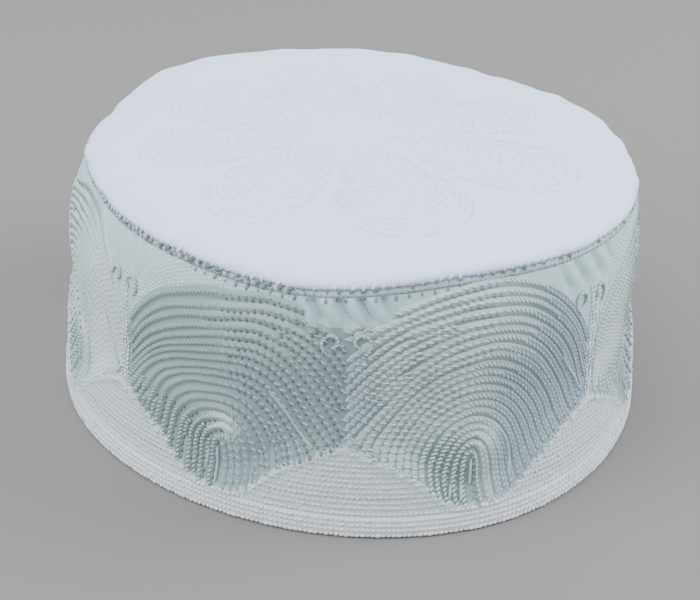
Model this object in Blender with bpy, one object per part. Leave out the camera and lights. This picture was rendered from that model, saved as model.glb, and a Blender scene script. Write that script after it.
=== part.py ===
"""Prayer cap standing on its hem with its opening down: a low oval drum with a padded flat crown.

The wall tapers upwards and is dished inside eight arched motifs. Origin: on the ground under the
middle of the cap. +X and +Y are the short and the long way across, +Z is up. Metres throughout.
"""
import bpy
import bmesh
import numpy as np
from math import atan2, cos, degrees, pi, radians, sin
from mathutils import Vector

# Driving sizes of the whole cap
HEM_HALF_X = 0.0875
HEM_HALF_Y = 0.0990
HEM_SQUARENESS = 1.92
SEAM_HALF_X = 0.0747
SEAM_HALF_Y = 0.0884
SEAM_SQUARENESS = 2.2
SEAM_HEIGHT = 0.0671
SEAM_SHIFT_X = 0.0023
SEAM_SHIFT_Y = -0.0012

# Cloth and clearances
BAND_WALL = 0.0018
CROWN_WALL = 0.0018
HEM_WALL = 0.0026
HEM_HEIGHT = 0.0064
HEM_PROUD = 0.0004
HEM_EDGE_ROUND = 0.0005
WELT_HEIGHT = 0.0022
WELT_DEPTH = 0.0022
WELT_PROUD = 0.0003
PIECE_GAP = 0.0003

# The eight motif cells of the band and the dish pressed into each
CELLS = 8
FIRST_BORDER_ANGLE = radians(244.3)
DISH_DEPTH = 0.0020
DISH_EDGE = 0.10
DISH_FADE_START = 0.34
DISH_FADE_LENGTH = 0.50
BORDER_KEEPS = 0.30

# Fineness of the solids
COLUMNS_PER_CELL = 12
COLUMNS = CELLS * COLUMNS_PER_CELL
BAND_ROWS = 13

# Wall outline: share of the seam height, share of the way from hem ring to seam ring
WALL_PROFILE = (
    (0.00, 0.00),
    (0.17, 0.11),
    (0.35, 0.235),
    (0.56, 0.40),
    (0.77, 0.57),
    (0.87, 0.68),
    (0.94, 0.81),
    (1.00, 1.00),
)

# Bottom edge of a motif: distance from its middle in cell widths, share of the seam height
MOTIF_FOOT = (
    (0.00, 0.105),
    (0.08, 0.118),
    (0.15, 0.155),
    (0.20, 0.205),
    (0.27, 0.270),
    (0.35, 0.320),
    (0.42, 0.360),
    (0.50, 0.395),
)

# Slack places of the seam: ring angle and half width in degrees, then shares of the two amounts
SLACK_OUTWARD = 0.0024
SLACK_UPWARD = 0.0013
SEAM_SLACK = (
    (33, 18, -0.75, -0.70),
    (100, 18, 0.85, 0.75),
    (133, 15, -1.00, -1.00),
    (190, 24, 0.25, 0.00),
    (236, 14, 0.00, -1.00),
    (262, 14, 0.00, 0.85),
    (348, 16, 0.50, 0.70),
)

# Soft swellings of the wall: ring angle and half width in degrees, height share of the middle,
# half height share, share of the amount
SWELL_OUTWARD = 0.0010
WALL_SWELLS = (
    (165, 34, 0.64, 0.38, 1.0),
    (330, 30, 0.55, 0.40, 0.4),
)

# Crown outline from its rim inwards: share of the seam ring, rise above the seam as a share of
# the crown's height
CROWN_HEIGHT = 0.0066
CROWN_PROFILE = (
    (1.004, 0.24),
    (1.005, 0.38),
    (0.999, 0.50),
    (0.984, 0.62),
    (0.955, 0.72),
    (0.88, 0.82),
    (0.72, 0.90),
    (0.50, 0.96),
    (0.26, 0.99),
)


def between(low, high, share):
    return low + (high - low) * share


def smooth_step(share):
    share = min(1.0, max(0.0, share))
    return share * share * (3.0 - 2.0 * share)


def read_table(table, place):
    """Value of a two-column table at a place, with a smooth curve through its rows."""
    place = min(table[-1][0], max(table[0][0], place))
    row = 0
    while row < len(table) - 2 and place > table[row + 1][0]:
        row += 1
    (x0, y0), (x1, y1) = table[row], table[row + 1]
    before = table[max(row - 1, 0)]
    after = table[min(row + 2, len(table) - 1)]
    slope0 = (y1 - before[1]) / (x1 - before[0])
    slope1 = (after[1] - y0) / (after[0] - x0)
    step = x1 - x0
    share = (place - x0) / step
    keep = 2 * share**3 - 3 * share**2 + 1
    lead = share**3 - 2 * share**2 + share
    trail = share**3 - share**2
    return keep * y0 + lead * step * slope0 + (1 - keep) * y1 + trail * step * slope1


def ring_radius(angle, half_x, half_y, squareness):
    across = abs(cos(angle) / half_x) ** squareness
    along = abs(sin(angle) / half_y) ** squareness
    return (across + along) ** (-1.0 / squareness)


def hem_radius(angle):
    return ring_radius(angle, HEM_HALF_X, HEM_HALF_Y, HEM_SQUARENESS)


def seam_radius(angle):
    return ring_radius(angle, SEAM_HALF_X, SEAM_HALF_Y, SEAM_SQUARENESS)


def nearness(angle, centre_degrees, half_width_degrees):
    """One at the centre of a slack place, falling smoothly to nought past its half width."""
    turn = (degrees(angle) - centre_degrees + 180.0) % 360.0 - 180.0
    return 1.0 - smooth_step(abs(turn) / (1.8 * half_width_degrees))


def seam_slack(angle):
    """How far the seam strays outwards and upwards at a ring angle."""
    outward = sum(row[2] * nearness(angle, row[0], row[1]) for row in SEAM_SLACK)
    upward = sum(row[3] * nearness(angle, row[0], row[1]) for row in SEAM_SLACK)
    return SLACK_OUTWARD * outward, SLACK_UPWARD * upward


def arc_angles():
    """Ring angle of every column, spaced equally along the hem from the first cell border."""
    steps = 1440
    angles = [FIRST_BORDER_ANGLE + 2 * pi * step / steps for step in range(steps + 1)]
    points = [Vector((cos(a), sin(a))) * hem_radius(a) for a in angles]
    lengths = [0.0]
    for here, there in zip(points, points[1:]):
        lengths.append(lengths[-1] + (there - here).length)
    wanted = [lengths[-1] * column / COLUMNS for column in range(COLUMNS)]
    return [float(a) for a in np.interp(wanted, lengths, angles)]


COLUMN_ANGLES = arc_angles()


def dish_depth(column, height_share):
    """How far a motif is pressed in: most around its eye, nothing outside its foot line."""
    aside = abs((column / COLUMNS_PER_CELL) % 1.0 - 0.5)
    above_foot = smooth_step((height_share - read_table(MOTIF_FOOT, aside)) / DISH_EDGE)
    below_top = 1.0 - smooth_step((height_share - DISH_FADE_START) / DISH_FADE_LENGTH)
    off_border = 1.0 - (1.0 - BORDER_KEEPS) * smooth_step((aside - 0.22) / 0.28)
    return DISH_DEPTH * above_foot * below_top * off_border


def wall_point(column, height_share, inward=0.0):
    """A point of the wall at a column and a share of the seam height, set in from its outside."""
    angle = COLUMN_ANGLES[column % COLUMNS]
    spread = read_table(WALL_PROFILE, height_share)
    outward, upward = seam_slack(angle)
    radius = between(hem_radius(angle), seam_radius(angle), spread)
    radius += outward * smooth_step(height_share)
    for centre, half_width, middle, half_height, amount in WALL_SWELLS:
        reach = 1.0 - smooth_step(abs(height_share - middle) / half_height)
        radius += SWELL_OUTWARD * amount * nearness(angle, centre, half_width) * reach
    radius -= inward
    return Vector((
        SEAM_SHIFT_X * spread + radius * cos(angle),
        SEAM_SHIFT_Y * spread + radius * sin(angle),
        SEAM_HEIGHT * height_share + upward * max(0.0, height_share) ** 3,
    ))


def crown_point(column, ring_share, rise, inward=0.0, downward=0.0):
    """A point of the crown: a share of the seam ring, raised above the seam."""
    angle = COLUMN_ANGLES[column % COLUMNS]
    outward, upward = seam_slack(angle)
    radius = ring_share * (seam_radius(angle) + outward) - inward
    return Vector((
        SEAM_SHIFT_X + radius * cos(angle),
        SEAM_SHIFT_Y + radius * sin(angle),
        SEAM_HEIGHT + upward * ring_share**2 + rise - downward,
    ))


def make_material(name, colour, roughness):
    material = bpy.data.materials.new(name)
    material.use_nodes = True
    shader = material.node_tree.nodes["Principled BSDF"]
    shader.inputs["Base Color"].default_value = (*colour, 1.0)
    shader.inputs["Roughness"].default_value = roughness
    shader.inputs["Metallic"].default_value = 0.0
    material.diffuse_color = (*colour, 1.0)
    return material


def finish_solid(name, mesh_edit, material, sharp_degrees):
    bmesh.ops.recalc_face_normals(mesh_edit, faces=mesh_edit.faces)
    mesh = bpy.data.meshes.new(name)
    mesh_edit.to_mesh(mesh)
    mesh_edit.free()
    mesh.materials.append(material)
    mesh.shade_smooth()
    mesh.set_sharp_from_angle(angle=radians(sharp_degrees))
    solid = bpy.data.objects.new(name, mesh)
    bpy.context.scene.collection.objects.link(solid)
    return solid


def closed_ring(name, section_at, material, sharp_degrees=50.0):
    """Carry a closed section once around the cap; section_at gives its points at a column."""
    mesh_edit = bmesh.new()
    sections = [[mesh_edit.verts.new(p) for p in section_at(c)] for c in range(COLUMNS)]
    for column in range(COLUMNS):
        here = sections[column]
        there = sections[(column + 1) % COLUMNS]
        for row in range(len(here)):
            after = (row + 1) % len(here)
            mesh_edit.faces.new((here[row], there[row], there[after], here[after]))
    return finish_solid(name, mesh_edit, material, sharp_degrees)


def hem_section(column):
    """Folded strip: a tall rounded rectangle with a flat foot on the ground."""
    top = HEM_HEIGHT / SEAM_HEIGHT
    round_share = HEM_EDGE_ROUND / SEAM_HEIGHT
    outside = -HEM_PROUD
    inside = HEM_WALL - HEM_PROUD
    rows = (
        (0.0, outside + HEM_EDGE_ROUND),
        (round_share, outside),
        (top - round_share, outside),
        (top, outside + HEM_EDGE_ROUND),
        (top, inside - HEM_EDGE_ROUND),
        (top - round_share, inside),
        (round_share, inside),
        (0.0, inside - HEM_EDGE_ROUND),
    )
    return [wall_point(column, share, inward) for share, inward in rows]


def band_section(column):
    """Outside of the wall going up, then its inside coming down."""
    bottom = (HEM_HEIGHT + PIECE_GAP) / SEAM_HEIGHT
    top = 1.0 - (WELT_HEIGHT / 2 + PIECE_GAP) / SEAM_HEIGHT
    shares = [between(bottom, top, row / (BAND_ROWS - 1)) for row in range(BAND_ROWS)]
    outside = [wall_point(column, s, dish_depth(column, s)) for s in shares]
    inside = [wall_point(column, s, dish_depth(column, s) + BAND_WALL) for s in shares]
    return outside + inside[::-1]


def welt_section(column):
    """Narrow rounded cord of overcast thread between the band and the crown."""
    rows = []
    for step in range(8):
        turn = 2 * pi * (step + 0.5) / 8
        across = WELT_DEPTH / 2 * (1 - cos(turn)) - WELT_PROUD
        rise = WELT_HEIGHT / 2 * sin(turn) / sin(pi * 3 / 8)
        rows.append(crown_point(column, 1.0, rise, across))
    return rows


def crown_layers():
    """Outside rows of the crown as share of ring and rise, with the inner offsets beside them."""
    rows = []
    mean_radius = (SEAM_HALF_X + SEAM_HALF_Y) / 2
    places = [(share * mean_radius, part * CROWN_HEIGHT) for share, part in CROWN_PROFILE]
    places.append((0.0, CROWN_HEIGHT))
    for row in range(len(places) - 1):
        before = places[max(row - 1, 0)]
        after = places[row + 1]
        slope = atan2(after[1] - before[1], before[0] - after[0])
        if row == 0:
            slope = pi / 2
        rows.append((
            CROWN_PROFILE[row][0],
            places[row][1],
            CROWN_WALL * sin(slope),
            CROWN_WALL * cos(slope),
        ))
    return rows


def build_crown(material):
    """A shallow padded disc, turned down at its rim to meet the seam."""
    mesh_edit = bmesh.new()
    layers = crown_layers()
    upper = []
    lower = []
    for share, rise, inward, downward in layers:
        upper.append([mesh_edit.verts.new(crown_point(c, share, rise)) for c in range(COLUMNS)])
        lower.append([
            mesh_edit.verts.new(crown_point(c, share, rise, inward, downward))
            for c in range(COLUMNS)
        ])
    middle = (SEAM_SHIFT_X, SEAM_SHIFT_Y, SEAM_HEIGHT + CROWN_HEIGHT)
    upper_middle = mesh_edit.verts.new(middle)
    lower_middle = mesh_edit.verts.new((middle[0], middle[1], middle[2] - CROWN_WALL))
    rings = upper[::-1] + lower
    for ring, next_ring in zip(rings, rings[1:]):
        for column in range(COLUMNS):
            after = (column + 1) % COLUMNS
            mesh_edit.faces.new((ring[column], ring[after], next_ring[after], next_ring[column]))
    for column in range(COLUMNS):
        after = (column + 1) % COLUMNS
        mesh_edit.faces.new((upper_middle, upper[-1][after], upper[-1][column]))
        mesh_edit.faces.new((lower_middle, lower[-1][column], lower[-1][after]))
    return finish_solid("crown_panel", mesh_edit, material, 50.0)


for leftover in list(bpy.data.objects):
    bpy.data.objects.remove(leftover, do_unlink=True)

crown_cloth = make_material("crown_cloth", (0.78, 0.79, 0.80), 0.85)
seam_thread = make_material("seam_thread", (0.66, 0.69, 0.69), 0.75)
band_cloth = make_material("band_cloth", (0.52, 0.57, 0.57), 0.85)
hem_cloth = make_material("hem_cloth", (0.66, 0.68, 0.70), 0.85)

closed_ring("hem_fold", hem_section, hem_cloth)
closed_ring("side_band", band_section, band_cloth)
closed_ring("crown_seam_welt", welt_section, seam_thread)
build_crown(crown_cloth)
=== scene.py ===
# %% [markdown]
# # A stitched prayer cap
# The cap is an open oval drum of white cotton that stands on its hem. Its side is covered with
# eight nests of arched rows, its crown is a flat padded disc, and a narrow overcast seam joins the
# two. This lesson lays cloth and thread over the solids that were modelled before. It begins by
# loading them, because the finished cap has to stay the same size.

import bpy
import numpy as np
from math import cos, pi, radians, sin
from mathutils import Matrix, Vector


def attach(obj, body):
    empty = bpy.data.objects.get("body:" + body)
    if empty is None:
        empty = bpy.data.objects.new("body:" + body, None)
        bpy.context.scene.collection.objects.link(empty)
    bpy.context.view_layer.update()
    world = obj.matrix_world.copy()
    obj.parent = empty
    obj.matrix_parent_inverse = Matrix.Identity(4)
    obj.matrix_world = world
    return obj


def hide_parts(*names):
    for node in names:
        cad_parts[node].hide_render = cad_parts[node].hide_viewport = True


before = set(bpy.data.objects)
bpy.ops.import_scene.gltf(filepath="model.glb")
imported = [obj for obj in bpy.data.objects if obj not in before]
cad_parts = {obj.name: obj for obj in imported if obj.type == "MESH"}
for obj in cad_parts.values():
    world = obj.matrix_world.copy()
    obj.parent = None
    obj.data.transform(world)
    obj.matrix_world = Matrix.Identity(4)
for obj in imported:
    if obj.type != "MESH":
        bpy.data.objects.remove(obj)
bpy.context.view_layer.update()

# %% [markdown]
# The cap's form is a rule: a point on its side is found from how far round the cap it lies and
# how high up. Round the cap we count in motifs, from 0 to 8, starting at the border between the
# two front motifs. Up the side we use a share of the seam's height. Everything sewn on the side
# is later placed by those two numbers, so a size changed here moves the stitches with the cloth.

# %% Sizes of the form
HEM_HALF_X = 0.0875
HEM_HALF_Y = 0.0990
HEM_SQUARENESS = 1.92
SEAM_HALF_X = 0.0747
SEAM_HALF_Y = 0.0884
SEAM_SQUARENESS = 2.2
SEAM_HEIGHT = 0.0671
SEAM_SHIFT = (0.0023, -0.0012)
BAND_WALL = 0.0018
HEM_HEIGHT = 0.0064
WELT_HEIGHT = 0.0022
CROWN_HEIGHT = 0.0066
CROWN_WALL = 0.0018
MOTIFS = 8
FIRST_BORDER_ANGLE = radians(244.3)

# Wall outline: share of the seam height, share of the way from hem ring to seam ring
WALL_PROFILE = (
    (0.00, 0.00),
    (0.17, 0.11),
    (0.35, 0.235),
    (0.56, 0.40),
    (0.77, 0.57),
    (0.87, 0.68),
    (0.94, 0.81),
    (1.00, 1.00),
)

# Slack places of the seam: ring angle and half width in degrees, shares of the two amounts
SLACK_OUTWARD = 0.0024
SLACK_UPWARD = 0.0013
SEAM_SLACK = (
    (33, 18, -0.75, -0.70),
    (100, 18, 0.85, 0.75),
    (133, 15, -1.00, -1.00),
    (190, 24, 0.25, 0.00),
    (236, 14, 0.00, -1.00),
    (262, 14, 0.00, 0.85),
    (348, 16, 0.50, 0.70),
)

# Soft swellings of the wall: ring angle, half width, height share, half height share, amount share
SWELL_OUTWARD = 0.0010
WALL_SWELLS = (
    (165, 34, 0.64, 0.38, 1.0),
    (330, 30, 0.55, 0.40, 0.4),
)

# %% [markdown]
# Cloth has no hard edges, so whatever swells or fades on the cap does so along one of three soft
# steps. Outlines are kept as short tables, and a smooth curve through their rows gives any place
# between. A table is easier to correct than a formula when a drawn outline is slightly off.


# %% Soft steps and tables
def smooth_step(share):
    """Nought below nought, one above one, and level at both."""
    share = np.clip(share, 0.0, 1.0)
    return share * share * (3.0 - 2.0 * share)


def rising(values, start, length):
    """Nought up to a start, one a length further on, and smooth between."""
    return smooth_step((values - start) / length)


def falling(values, start, length):
    """One up to a start, nought a length further on, and smooth between."""
    return 1.0 - rising(values, start, length)


def bell(values, middle, width):
    """One at the middle and soon nought beyond a width on both sides."""
    return np.exp(-(((values - middle) / width) ** 2))


def read_table(table, places):
    """Values of a two-column table along a smooth curve through its rows."""
    rows = np.array(table, float)
    places = np.clip(np.asarray(places, float), rows[0, 0], rows[-1, 0])
    slopes = np.gradient(rows[:, 1], rows[:, 0])
    first = np.clip(np.searchsorted(rows[:, 0], places) - 1, 0, len(rows) - 2)
    step = rows[first + 1, 0] - rows[first, 0]
    share = (places - rows[first, 0]) / step
    keep = 2 * share**3 - 3 * share**2 + 1
    lead = (share**3 - 2 * share**2 + share) * step * slopes[first]
    trail = (share**3 - share**2) * step * slopes[first + 1]
    return keep * rows[first, 1] + lead + (1 - keep) * rows[first + 1, 1] + trail


print("wall at half height:", round(float(read_table(WALL_PROFILE, 0.5)), 3), "of the way in")

# %% [markdown]
# The two rings, at the hem and at the seam, are ovals a little squarer or rounder than an
# ellipse. The wall lies between them by the share in its outline. Places round the cap are
# measured along the hem, because the motifs are equally wide there and not equally wide in angle.


# %% Rings and wall
def ring_radius(angles, half_x, half_y, squareness):
    across = np.abs(np.cos(angles) / half_x) ** squareness
    along = np.abs(np.sin(angles) / half_y) ** squareness
    return (across + along) ** (-1.0 / squareness)


def hem_radius(angles):
    return ring_radius(angles, HEM_HALF_X, HEM_HALF_Y, HEM_SQUARENESS)


def seam_radius(angles):
    return ring_radius(angles, SEAM_HALF_X, SEAM_HALF_Y, SEAM_SQUARENESS)


def nearness(angles, centre, half_width):
    """One at a centre in degrees, one half at nine tenths of the half width, then nought."""
    turn = (np.degrees(angles) - centre + 180.0) % 360.0 - 180.0
    return falling(np.abs(turn), 0.0, 1.8 * half_width)


def seam_slack(angles):
    """How far the slack seam stands outward and upward at each angle, in metres."""
    outward = sum(row[2] * nearness(angles, row[0], row[1]) for row in SEAM_SLACK)
    upward = sum(row[3] * nearness(angles, row[0], row[1]) for row in SEAM_SLACK)
    return SLACK_OUTWARD * outward, SLACK_UPWARD * upward


TRIAL_ANGLES = FIRST_BORDER_ANGLE + np.linspace(0.0, 2 * pi, 2881)
TRIAL_RING = hem_radius(TRIAL_ANGLES)[:, None] * np.c_[np.cos(TRIAL_ANGLES), np.sin(TRIAL_ANGLES)]
TRIAL_LENGTHS = np.r_[0.0, np.cumsum(np.linalg.norm(np.diff(TRIAL_RING, axis=0), axis=1))]
HEM_LENGTH = float(TRIAL_LENGTHS[-1])
MOTIF_WIDTH = HEM_LENGTH / MOTIFS


def motif_angle(motifs):
    """Ring angle at a place counted in motifs from the front border."""
    return np.interp(np.mod(motifs, MOTIFS), TRIAL_LENGTHS / MOTIF_WIDTH, TRIAL_ANGLES)


def wall_points(motifs, heights, inward=0.0):
    """Points of the smooth wall, set in from its outside by a distance in metres."""
    motifs, heights = np.broadcast_arrays(np.asarray(motifs, float), np.asarray(heights, float))
    angles = motif_angle(motifs)
    spread = read_table(WALL_PROFILE, heights)
    outward, upward = seam_slack(angles)
    radius = hem_radius(angles) * (1 - spread) + seam_radius(angles) * spread
    radius = radius + outward * smooth_step(heights)
    for centre, half_width, middle, half_height, amount in WALL_SWELLS:
        reach = falling(np.abs(heights - middle), 0.0, half_height)
        radius = radius + SWELL_OUTWARD * amount * nearness(angles, centre, half_width) * reach
    radius = radius - inward
    return np.stack([
        SEAM_SHIFT[0] * spread + radius * np.cos(angles),
        SEAM_SHIFT[1] * spread + radius * np.sin(angles),
        SEAM_HEIGHT * heights + upward * np.clip(heights, 0.0, None) ** 3,
    ], axis=-1)


print("hem length, mm:", round(1000 * HEM_LENGTH, 1), "motif width:", round(1000 * MOTIF_WIDTH, 1))

# %% [markdown]
# On the real cap the stitching pulls each motif in, so the wall is dished round every eye and
# stands proud in the plain corners and along the hem. Under the seam the slack cloth between two
# motifs is gathered into small puckers, deepest in front. All of these are small inward distances,
# so they are added to the wall as a relief instead of being modelled as pieces.

# %% The wall's relief
DISH_DEPTH = 0.0020
FOOT_STEP = 0.0007
LIP_HEIGHT = 0.0004
PUCKER_DEPTH = 0.0012
PUCKER_PITCH = 0.088
PUCKER_LEAN = 0.6
BACK_SLACK = 0.45
FRONT_REACH = 0.5
RIDGE_HEIGHT = 0.0004
RIDGE_OFFSET = 0.030
RIDGE_WIDTH = 0.030
BORDER_DISH_LOSS = 0.70

# Bottom edge of a motif: distance from its middle in motif widths, share of the seam height
MOTIF_FOOT = (
    (0.00, 0.105),
    (0.08, 0.118),
    (0.15, 0.155),
    (0.20, 0.205),
    (0.27, 0.270),
    (0.35, 0.320),
    (0.42, 0.360),
    (0.50, 0.395),
)


def from_middle(motifs):
    """Distance from the middle of the motif that a place lies in, in motif widths."""
    return np.mod(motifs, 1.0) - 0.5


def to_border(motifs, first):
    """Distance to the nearest of every second border, counted from the first."""
    return np.abs(np.mod(motifs - first + 1.0, 2.0) - 1.0)


def above_foot(motifs, heights):
    return heights - read_table(MOTIF_FOOT, np.abs(from_middle(motifs)))


def border_window(motifs, heights):
    """One in the slack corner under the seam between two motifs, nought elsewhere."""
    off_border = 0.5 - np.abs(from_middle(motifs))
    tall = rising(heights, 0.865, 0.05) * falling(heights, 0.975, 0.02)
    return tall * falling(off_border, 0.115, 0.08)


def ridge_share(motifs, heights):
    """One on the raised edge beside every second border, nought elsewhere."""
    tall = rising(heights, 0.40, 0.05) * falling(heights, 0.82, 0.08)
    return tall * bell(to_border(motifs, 1.0 + RIDGE_OFFSET), 0.0, RIDGE_WIDTH)


def relief(motifs, heights):
    """How far the cloth lies in from the smooth wall, in metres."""
    motifs, heights = np.broadcast_arrays(np.asarray(motifs, float), np.asarray(heights, float))
    rise = above_foot(motifs, heights)
    off_border = 1.0 - BORDER_DISH_LOSS * rising(np.abs(from_middle(motifs)), 0.22, 0.28)
    dish = DISH_DEPTH * rising(rise, 0.0, 0.10) * falling(heights, 0.34, 0.50) * off_border
    step = FOOT_STEP * rising(rise, -0.008, 0.030) * falling(heights, 0.5, 0.3)
    lip = LIP_HEIGHT * (1 + bell(to_border(motifs, 1.0), 0.0, 0.12)) * bell(rise, -0.012, 0.014)
    slanted = motifs + PUCKER_LEAN * (heights - 0.95)
    wave = np.sin(2 * pi * slanted / PUCKER_PITCH + 1.2 * np.sin(9 * slanted))
    from_front = np.mod(motifs + MOTIFS / 2, MOTIFS) - MOTIFS / 2
    slack = BACK_SLACK + (1.0 - BACK_SLACK) * bell(from_front, 0.0, FRONT_REACH)
    pucker = PUCKER_DEPTH * slack * (wave - 0.6 * wave**4) * border_window(motifs, heights)
    return dish + step - lip - pucker - RIDGE_HEIGHT * ridge_share(motifs, heights)


def cloth_points(motifs, heights, lift=0.0):
    """Points on the dished cloth, lifted off it by a distance in metres."""
    return wall_points(motifs, heights, relief(motifs, heights) - lift)


def unit(vectors):
    return vectors / np.maximum(np.linalg.norm(vectors, axis=-1, keepdims=True), 1e-12)


def cloth_facing(motifs, heights, step=0.004):
    """Outward direction of the cloth at each place."""
    across = cloth_points(motifs + step, heights) - cloth_points(motifs - step, heights)
    up = cloth_points(motifs, heights + step) - cloth_points(motifs, heights - step)
    return unit(np.cross(across, up))


print("deepest dish, mm:", round(1000 * float(relief(0.5, np.linspace(0, 1, 99)).max()), 2))

# %% [markdown]
# Finishes are built from shader nodes. A node tree written link by link is hard to read, so one
# small class wraps a socket and lets sums be written as sums, and one method makes any other
# node from its type, its settings and what goes into its sockets.


# %% A small workbench for node trees
class Wire:
    """The end of a link that carries a number, so that it can be used in a sum."""

    def __init__(self, bench, socket):
        self.bench = bench
        self.socket = socket

    def sum_with(self, operation, first, second):
        inputs = {0: first, 1: second}
        return self.bench.node("ShaderNodeMath", {"operation": operation}, inputs)[0]

    def __add__(self, other):
        return self.sum_with("ADD", self, other)

    def __radd__(self, other):
        return self.sum_with("ADD", other, self)

    def __sub__(self, other):
        return self.sum_with("SUBTRACT", self, other)

    def __rsub__(self, other):
        return self.sum_with("SUBTRACT", other, self)

    def __mul__(self, other):
        return self.sum_with("MULTIPLY", self, other)

    def __rmul__(self, other):
        return self.sum_with("MULTIPLY", other, self)


class Bench:
    """Makes the nodes of one tree, of a material or of a geometry recipe."""

    def __init__(self, tree):
        self.tree = tree

    def node(self, kind, settings=None, inputs=None):
        """A node of a type, with its settings set first, then values or links in its sockets."""
        made = self.tree.nodes.new(kind)
        for name, value in (settings or {}).items():
            setattr(made, name, value)
        for name, value in (inputs or {}).items():
            self.plug(made.inputs[name], value)
        return [Wire(self, socket) for socket in made.outputs]

    def plug(self, socket, value):
        if isinstance(value, Wire):
            self.tree.links.new(value.socket, socket)
        else:
            socket.default_value = value

    def ramp(self, amount, stops):
        """A colour ramp with stops given as place and colour."""
        made = self.tree.nodes.new("ShaderNodeValToRGB")
        while len(made.color_ramp.elements) < len(stops):
            made.color_ramp.elements.new(0.5)
        for element, (place, colour) in zip(made.color_ramp.elements, stops):
            element.position = place
            element.color = (*colour, 1.0)
        self.plug(made.inputs["Fac"], amount)
        return Wire(self, made.outputs["Color"])

    def mix_colours(self, amount, first, second):
        """A blend of two colours, each a wire or three numbers."""
        made = self.tree.nodes.new("ShaderNodeMix")
        made.data_type = "RGBA"
        self.plug(made.inputs["Factor"], amount)
        sockets = [socket for socket in made.inputs if socket.type == "RGBA"]
        for socket, colour in zip(sockets, (first, second)):
            self.plug(socket, colour if isinstance(colour, Wire) else (*colour, 1.0))
        return Wire(self, [socket for socket in made.outputs if socket.type == "RGBA"][0])


def new_finish(name, roughness):
    """A matt material with its bench and its main shader, ready to be given colours."""
    material = bpy.data.materials.new(name)
    material.use_nodes = True
    shader = material.node_tree.nodes["Principled BSDF"]
    shader.inputs["Roughness"].default_value = roughness
    return material, Bench(material.node_tree), shader


# %% [markdown]
# Everything on this cap is cotton: matt, with a soft sheen where the thread catches light. The
# motifs are sewn with slightly grey-green thread over darker cloth, and both are partly painted
# shade: the thread is darker than the white thread to stand for the shade inside the dished
# motifs, and the cloth for the shade in the grooves between rows. The corners and the hem are
# whiter, and the crown is the whitest. Each stitch carries a small number called tint from where
# it lies, so one thread finish can change tone across the cap without a picture laid on it; the
# tint carries painted shade and painted light as well as the thread's own tone.

# %% Cotton finishes
SHADE_THREAD = (0.33, 0.42, 0.56)
PALE_THREAD = (0.64, 0.71, 0.74)
# Dark ground in the motifs: partly the cloth's own tone, partly painted shade of the grooves
# between rows
MOTIF_GROUND_AND_SHADE = (0.24, 0.315, 0.32)
DEEP_SHADE = (0.15, 0.21, 0.215)
PALE_GROUND = (0.56, 0.62, 0.65)
SHEER_CLOTH = (0.40, 0.55, 0.57)
CROWN_WHITE = (0.71, 0.785, 1.0)
SKY_SHEEN = (0.45, 0.62, 1.0, 1.0)
FLECK_SCALE = 900.0
FLECK_SHARE = 0.16


def weave_bump(bench, pitch, strength, distance):
    """Normal of a plain weave with threads of a given pitch."""
    place = bench.node("ShaderNodeTexCoord")[3]
    weave = {"Vector": place, "Scale": 1.0 / pitch, "Detail": 2.0}
    noise = bench.node("ShaderNodeTexNoise", None, weave)[0]
    bump = {"Strength": strength, "Distance": distance, "Height": noise}
    return bench.node("ShaderNodeBump", None, bump)[0]


def thread_finish(name, pale, plain, shade):
    """Cotton thread: tint 0 is painted shade, 0.5 plain and 1 pale, which also serves as painted
    light.
    """
    material, bench, shader = new_finish(name, 0.62)
    tint = bench.node("ShaderNodeAttribute", {"attribute_name": "tint"})[2]
    place = bench.node("ShaderNodeTexCoord")[3]
    fleck = bench.node("ShaderNodeTexNoise", None, {"Vector": place, "Scale": FLECK_SCALE})[0]
    tone = tint + FLECK_SHARE * (fleck - 0.5)
    colour = bench.ramp(tone, ((0.0, shade), (0.5, plain), (1.0, pale)))
    bench.plug(shader.inputs["Base Color"], colour)
    shader.inputs["Sheen Weight"].default_value = 0.25
    shader.inputs["Sheen Roughness"].default_value = 0.4
    bench.plug(shader.inputs["Normal"], weave_bump(bench, 0.00035, 0.25, 0.0001))
    return material


def cloth_finish(name, pale, dark, sheer):
    """Ground cloth: dark, with painted groove shade, at ground share one; sheer at sheer share one.
    """
    material, bench, shader = new_finish(name, 0.85)
    ground = bench.node("ShaderNodeAttribute", {"attribute_name": "ground"})[2]
    thin = bench.node("ShaderNodeAttribute", {"attribute_name": "sheer"})[2]
    colour = bench.mix_colours(ground, pale, dark)
    bench.plug(shader.inputs["Base Color"], bench.mix_colours(thin, colour, sheer))
    bench.plug(shader.inputs["Normal"], weave_bump(bench, 0.0005, 0.4, 0.00015))
    return material


def plain_finish(name, colour, roughness=0.9, bump_strength=0.2):
    """Cloth or shadowed thread of one colour with a weave in its surface."""
    material, bench, shader = new_finish(name, roughness)
    shader.inputs["Base Color"].default_value = (*colour, 1.0)
    bench.plug(shader.inputs["Normal"], weave_bump(bench, 0.0006, bump_strength, 0.00012))
    return material


# Plain colours of the motif threads and cords: partly their own grey-green, partly painted shade of
# the dished motifs
TENT_THREAD = thread_finish("tent_thread", PALE_THREAD, (0.49, 0.59, 0.605), SHADE_THREAD)
ROUND_THREAD = thread_finish("round_thread", PALE_THREAD, (0.30, 0.395, 0.395), SHADE_THREAD)
TENT_CORD = thread_finish("tent_cord", (0.64, 0.71, 0.73), (0.385, 0.48, 0.49), DEEP_SHADE)
ROUND_CORD = thread_finish("round_cord", (0.62, 0.69, 0.72), (0.24, 0.325, 0.325), DEEP_SHADE)
WHITE_COTTON = thread_finish("white_thread", (0.80, 0.81, 0.84), PALE_THREAD, (0.40, 0.50, 0.52))
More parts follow.
